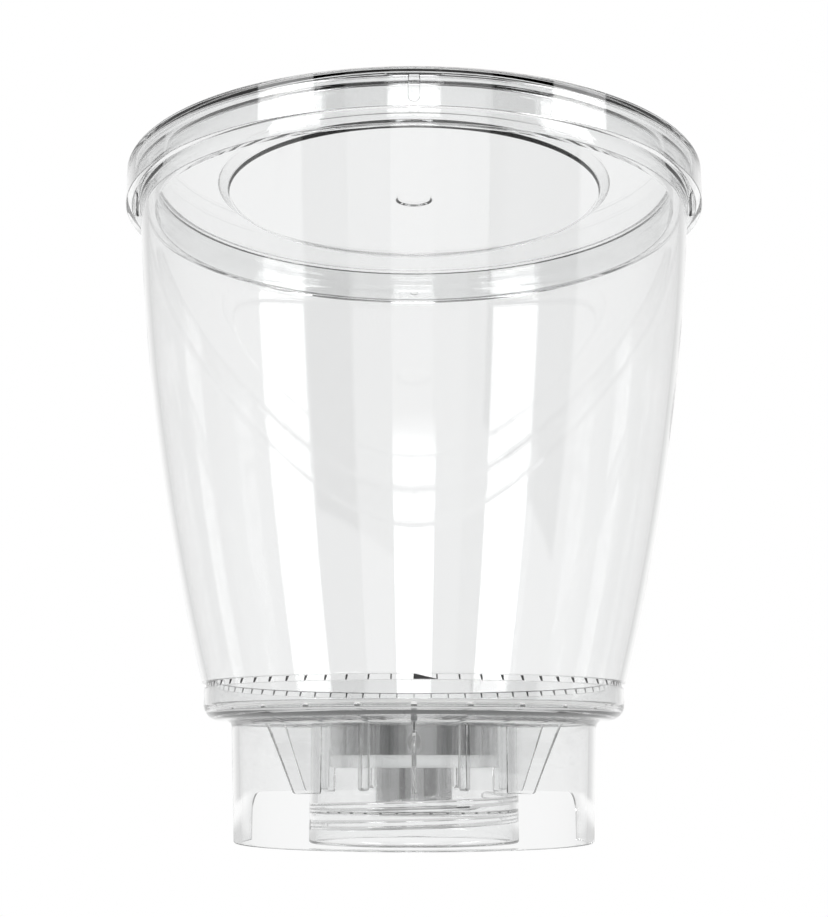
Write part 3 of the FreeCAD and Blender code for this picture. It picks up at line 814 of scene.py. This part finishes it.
class MakeBase(bpy.types.Operator):
    """Turn the one-piece base, join its ribs, port and thread, and cut the arch and airway"""
    bl_idname = "filtration.base"
    bl_label = "Base"

    def execute(self, context):
        material = body_plastic()
        facets = context.scene.filtration_cup.facets
        piece = turned("clear_base", self.profile(), True, facets, material)
        start_y = (COLLAR_BORE_R + COLLAR_R) / 2
        combined(piece, "UNION", [
            self.gussets(material),
            self.neck_ribs(material),
            rod("port", PORT_R, start_y, PORT_MOUTH_Y),
            rod("bridge", PORT_BRIDGE_R, (BOSS_BORE_R + BOSS_R) / 2, start_y),
            self.thread(context, material),
        ])
        combined(piece, "DIFFERENCE", [
            self.arch(),
            rod("airway", PORT_BORE_R, (SPOUT_R + BOSS_BORE_R) / 2, PORT_MOUTH_Y + 1),
            rod("socket", SOCKET_R, SOCKET_END_Y, PORT_MOUTH_Y + 1),
        ])
        hand_over(polished(piece), "clear_body", material, "base")
        return {"FINISHED"}

    def profile(self):
        """Dish, skirt, collar, boss and spout as one turned section."""
        return [
            (SPOUT_BORE_R, DISH_FLOOR_Z),
            (DISH_BORE_R, DISH_FLOOR_Z, DISH_INNER_CORNER_R),
            (DISH_BORE_R, DISH_RIM_Z, LIP_ROUND),
            (DISH_R, DISH_RIM_Z, LIP_ROUND),
            (DISH_R, DISH_UNDER_Z, DISH_CORNER_R),
            (SKIRT_TOP_R, DISH_UNDER_Z, SKIRT_OUTER_ROUND),
            (SKIRT_FOOT_R, 0, SKIRT_FOOT_ROUND),
            (SKIRT_FOOT_R - SKIRT_WALL, 0, SKIRT_FOOT_ROUND),
            (SKIRT_TOP_R - SKIRT_WALL, DISH_UNDER_Z, SKIRT_INNER_ROUND),
            (COLLAR_R, DISH_UNDER_Z, ROOT_ROUND),
            (COLLAR_R, 0, SKIRT_FOOT_ROUND),
            (COLLAR_GUIDE_R + LEAD_IN, 0, TIP_ROUND),
            (COLLAR_GUIDE_R, LEAD_IN, GUIDE_ROUND),
            (COLLAR_GUIDE_R, COLLAR_GUIDE, GUIDE_ROUND),
            (COLLAR_BORE_R, COLLAR_GUIDE + COLLAR_GUIDE_R - COLLAR_BORE_R, GUIDE_ROUND),
            (COLLAR_BORE_R, DISH_UNDER_Z, ROOT_ROUND),
            (BOSS_R, DISH_UNDER_Z, ROOT_ROUND),
            (BOSS_R, BOSS_FACE_Z, LIP_ROUND),
            (BOSS_BORE_R, BOSS_FACE_Z, LIP_ROUND),
            (BOSS_BORE_R, DISH_UNDER_Z, ROOT_ROUND),
            (SPOUT_R, DISH_UNDER_Z, ROOT_ROUND),
            (SPOUT_R, SPOUT_TIP_Z, TIP_ROUND),
            (SPOUT_BORE_R, SPOUT_TIP_Z, TIP_ROUND),
        ]

    def gussets(self, material):
        """Six thin slanting ribs from the collar out under the dish."""
        root = (COLLAR_BORE_R + COLLAR_R) / 2
        corners = [
            (root, GUSSET_FOOT_Z),
            (GUSSET_STEP_R, GUSSET_FOOT_Z, 1.0),
            (GUSSET_TOP_R, DISH_UNDER_Z),
            (GUSSET_TOP_R, ROOT_Z),
            (root, ROOT_Z),
        ]
        half = GUSSET_THICK / 2
        # Turned to stand across the front, one of them at the front
        outline = [Vector((-half, -point.x, point.y)) * MM for point in section(corners, True)]
        start = prism("gusset", outline, Vector((GUSSET_THICK, 0, 0)) * MM, 0.0004)
        return grown("gussets", start, ring_tree, count=6, material=material)

    def neck_ribs(self, material):
        """Six upright ribs on the collar's bore, round at their lower ends."""
        outline = rib_outline(NECK_RIB_TIP_R, NECK_RIB_WIDTH, ROOT_Z, NECK_RIB_FOOT_Z)
        depth = Vector(((COLLAR_BORE_R + COLLAR_R) / 2 - NECK_RIB_TIP_R, 0, 0)) * MM
        return grown("neck_ribs", prism("neck_rib", outline, depth, 0.0005), ring_tree,
                     count=6, material=material)

    def arch(self):
        """The curved block that opens the back of the skirt, in columns from side to side."""
        inner = SKIRT_FOOT_R - 2 * SKIRT_WALL
        outer = SKIRT_TOP_R + SKIRT_WALL
        reach = ARCH_SLANT + ARCH_CORNER_R
        straight = ARCH_HALF_ANGLE - math.asin(reach / SKIRT_FOOT_R)
        side = section([(0, ARCH_HEIGHT), (ARCH_CORNER_R, ARCH_HEIGHT, ARCH_CORNER_R),
                        (reach, ARCH_FOOT_Z)], False)
        columns = [(-straight, -point.x, point.y) for point in reversed(side)]
        steps = 48
        for index in range(1, steps):
            columns.append((straight * (2 * index / steps - 1), 0, ARCH_HEIGHT))
        columns += [(straight, point.x, point.y) for point in side]
        rings = []
        for turn, aside, top in columns:
            ahead = Vector((math.sin(turn), math.cos(turn), 0))
            across = Vector((math.cos(turn), -math.sin(turn), 0))
            rings.append([
                (ahead * radius + across * aside + Vector((0, 0, z))) * MM for radius, z in
                ((inner, ARCH_FOOT_Z), (outer, ARCH_FOOT_Z), (outer, top), (inner, top))])
        return outward(new_object("arch", strip("arch", rings)))

    def thread(self, context, material):
        """The ridge of the neck thread, sunk a little into the collar's bore."""
        sizes = context.scene.filtration_thread
        root = COLLAR_GUIDE_R + THREAD_SUNK
        crest = sizes.crest_radius / MM
        corners = [(root, -THREAD_ROOT), (root, THREAD_ROOT),
                   (crest, THREAD_CREST, THREAD_ROUND), (crest, -THREAD_CREST, THREAD_ROUND)]
        points = section(corners, True)
        start = section_mesh("thread_section", points, True, root * MM)
        piece = grown("neck_thread", start, thread_tree, radius=root * MM,
                      pitch=sizes.pitch, turns=sizes.turns, foot=sizes.start_height,
                      material=material)
        return outward(piece)


class MakeSeam(bpy.types.Operator):
    """Set the dark ticks and the index wedge in the seam"""
    bl_idname = "filtration.seam"
    bl_label = "Seam ticks"

    def execute(self, context):
        sizes = context.scene.filtration_seam
        material = tick_finish()
        half = sizes.tick_thickness / 2
        low, high = (DISH_RIM_Z + 0.08) * MM, (SHOULDER_Z - 0.06) * MM
        # Thin plates inside the seam, leaning in towards their tops
        outline = [Vector((-half, -radius * MM, z)) for radius, z in
                   ((SEAM_R - 0.05, low), (SEAM_R - 0.7, low),
                    (SEAM_R - 2.0, high), (SEAM_R - 0.65, high))]
        start = prism("tick", outline, Vector((sizes.tick_thickness, 0, 0)))
        ticks = grown("seam_ticks", start, ring_tree, count=sizes.tick_count, material=material)
        hand_over(ticks, "clear_funnel", material)
        pitch = 2 * math.pi * SEAM_R * MM / sizes.tick_count
        wedge = new_object("index_wedge", self.wedge(pitch, low, high, sizes.wedge_height))
        hand_over(wedge, "clear_funnel", material)
        return {"FINISHED"}

    def wedge(self, pitch, low, high, proud):
        """The long ramp that marks the front, bent round the seam."""
        steps = 12
        outer, inner = SEAM_R * MM + proud, (SEAM_R - 0.3) * MM
        rings = []
        for index in range(steps + 1):
            share = index / steps
            turn = pitch * share / (SEAM_R * MM)
            top = low + (high - low) * (1 - share) + 0.02 * MM
            rings.append([(radius * math.sin(turn), -radius * math.cos(turn), z) for radius, z in
                          ((outer, top), (outer, low), (inner, low), (inner, top))])
        return strip("index_wedge", rings, capped=True)


class DressInsides(bpy.types.Operator):
    """Give the membrane, grid, gasket, connector and plug their finishes"""
    bl_idname = "filtration.insides"
    bl_label = "Insides"

    def execute(self, context):
        finishes = {
            "membrane": membrane_finish(),
            "support_grid": clear_plastic("clear_grid_plastic", roughness=0.05),
            "neck_gasket": gasket_finish(),
            "hose_connector": clear_plastic("clear_connector_plastic"),
            "vent_plug": plug_finish(),
        }
        for node, material in finishes.items():
            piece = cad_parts[node]
            for slot in piece.material_slots:
                slot.material = material
        return {"FINISHED"}


class SetStage(bpy.types.Operator):
    """Set the bench, the studio's light and the camera"""
    bl_idname = "filtration.stage"
    bl_label = "Stage"

    def execute(self, context):
        self.world(context)
        self.bench(context)
        self.camera(context)
        return {"FINISHED"}

    def seen_by(self, wires):
        """What kind of ray asks: from the eye, after a reflection, after a matt surface."""
        path = wires.node("ShaderNodeLightPath").outputs
        reflected = wires.maths("GREATER_THAN", path["Glossy Depth"], 0.5)
        matt = wires.maths("GREATER_THAN", path["Diffuse Depth"], 0.5)
        return path["Is Camera Ray"], reflected, matt

    def mixed(self, wires, share, first, second):
        """first where share is 0, second where it is 1."""
        gap = wires.maths("SUBTRACT", second, first)
        return wires.maths("ADD", first, wires.maths("MULTIPLY", share, gap))

    def world(self, context):
        studio = context.scene.filtration_studio
        world = bpy.data.worlds.new("Studio")
        context.scene.world = world
        world.use_nodes = True
        wires = Wires(world.node_tree)
        way = wires.node("ShaderNodeTexCoord").outputs["Generated"]
        parts = wires.node("ShaderNodeSeparateXYZ", {0: way}).outputs
        front = wires.maths("MULTIPLY", parts[1], -1.0)
        azimuth = wires.maths("MULTIPLY", wires.maths("ARCTAN2", parts[0], front), 180 / math.pi)
        height = wires.maths("MULTIPLY", wires.maths("ARCSINE", parts[2]), 180 / math.pi)

        # What gloss shows, by azimuth and height in degrees, 0 to the front: walls, dark gaps
        # that slant, the sides and back, the ceiling and the softboxes
        aside = wires.maths("ABSOLUTE", azimuth)
        below_walls = wires.ramp(height, -3, -8)
        tilted = wires.maths("ADD", height, wires.maths("MULTIPLY", azimuth, 0.16))
        gloss = self.mixed(wires, below_walls, studio.walls, studio.bench)
        gaps = [
            (-44.5, -26.5, -18.6, 0.0),
            (-26.5, -9.5, -18.6, 0.45),
            (30.0, 69.0, -1.4, 0.0),
        ]
        for low, high, foot, left in gaps:
            across = wires.band(azimuth, low, high, 0.7)
            gap = wires.maths("MULTIPLY", across, wires.ramp(tilted, foot - 0.5, foot + 0.5))
            gloss = self.mixed(wires, gap, gloss, wires.maths("MULTIPLY", gloss, left))
        gloss = self.mixed(wires, wires.ramp(aside, 85, 105), gloss, studio.sides)
        gloss = self.mixed(wires, wires.ramp(aside, 145, 165), gloss, studio.backdrop)
        gloss = self.mixed(wires, wires.ramp(height, 30, 42), gloss, studio.ceiling)
        boxes = [(55, 78, 20, 62), (-61, -39, 20, 62), (-10.5, 10.5, 27, 62)]
        for low, high, foot, top in boxes:
            across = wires.band(azimuth, low, high, 1.0)
            upright = wires.band(height, foot, top, 1.5)
            box = wires.maths("MULTIPLY", across, upright)
            gloss = wires.maths("ADD", gloss, wires.maths("MULTIPLY", box, studio.softbox))

        # What is seen straight through the clear walls: white, with a dim ceiling
        ceiling = wires.ramp(height, 36, 52)
        through = self.mixed(wires, ceiling, studio.backdrop, studio.ceiling)
        camera, reflected, matt = self.seen_by(wires)
        light = self.mixed(wires, reflected, through, gloss)
        light = self.mixed(wires, matt, light, 1.0)
        light = self.mixed(wires, camera, light, 1.0)
        background = world.node_tree.nodes["Background"]
        wires.tree.links.new(light, background.inputs["Strength"])
        background.inputs["Color"].default_value = (1, 1, 1, 1)

    def bench(self, context):
        studio = context.scene.filtration_studio
        work = bmesh.new()
        bmesh.ops.create_circle(work, cap_ends=True, segments=96, radius=studio.bench_radius)
        bmesh.ops.translate(work, verts=work.verts, vec=(0, 0, -BENCH_GAP))
        mesh = bpy.data.meshes.new("bench")
        work.to_mesh(mesh)
        work.free()
        bench = new_object("bench", mesh)
        material = bpy.data.materials.new("bench_white")
        material.use_nodes = True
        tree = material.node_tree
        tree.nodes.clear()
        wires = Wires(tree)
        camera, reflected, matt = self.seen_by(wires)
        place = wires.node("ShaderNodeTexCoord").outputs["Object"]
        depth = wires.node("ShaderNodeSeparateXYZ", {0: place}).outputs[1]
        behind = wires.ramp(depth, 0.03, 0.12)
        gloss = self.mixed(wires, behind, studio.bench, studio.backdrop)
        light = self.mixed(wires, reflected, studio.backdrop, gloss)
        light = self.mixed(wires, matt, light, 0.8)
        glow = wires.node("ShaderNodeEmission", {"Color": (1, 1, 1, 1), "Strength": light})
        wires.node("ShaderNodeOutputMaterial", {0: glow.outputs[0]})
        mesh.materials.append(material)

    def camera(self, context):
        lens = bpy.data.cameras.new("camera")
        lens.sensor_fit = "VERTICAL"
        lens.sensor_width = lens.sensor_height = 36.0
        lens.lens = CAMERA_LENS
        lens.clip_start = 0.01
        camera = bpy.data.objects.new("camera", lens)
        camera.location = CAMERA_PLACE
        camera.rotation_euler = (math.radians(90) + CAMERA_PITCH, 0, 0)
        context.scene.collection.objects.link(camera)
        context.scene.camera = camera
        context.scene.view_settings.view_transform = "Standard"
        cycles = context.scene.cycles
        cycles.max_bounces = 66
        cycles.transmission_bounces = 64
        cycles.glossy_bounces = 24
        cycles.transparent_max_bounces = 16


class FiltrationPanel(bpy.types.Panel):
    """The unit's sizes, finishes and pieces"""
    bl_idname = "VIEW3D_PT_filtration"
    bl_label = "Filtration Unit"
    bl_space_type = "VIEW_3D"
    bl_region_type = "UI"
    bl_category = "Filtration Unit"

    def draw(self, context):
        for operator in OPERATORS:
            self.layout.operator(operator.bl_idname)
        for name in GROUPS:
            group = getattr(context.scene, name)
            box = self.layout.box()
            for key in group.__annotations__:
                box.prop(group, key)


GROUPS = {
    "filtration_cup": CupSizes,
    "filtration_seam": SeamSizes,
    "filtration_thread": ThreadSizes,
    "filtration_finishes": Finishes,
    "filtration_studio": Studio,
}
OPERATORS = (SetStage, MakeFunnel, MakeLid, MakeBase, MakeSeam, DressInsides)


def register():
    for group in GROUPS.values():
        bpy.utils.register_class(group)
    for name, group in GROUPS.items():
        setattr(bpy.types.Scene, name, PointerProperty(type=group))
    for operator in OPERATORS:
        bpy.utils.register_class(operator)
    bpy.utils.register_class(FiltrationPanel)


def unregister():
    bpy.utils.unregister_class(FiltrationPanel)
    for operator in reversed(OPERATORS):
        bpy.utils.unregister_class(operator)
    for name, group in reversed(list(GROUPS.items())):
        delattr(bpy.types.Scene, name)
        bpy.utils.unregister_class(group)


def main():
    register()
    for operator in OPERATORS:
        group, call = operator.bl_idname.split(".")
        getattr(getattr(bpy.ops, group), call)()


if __name__ == "__main__":
    main()
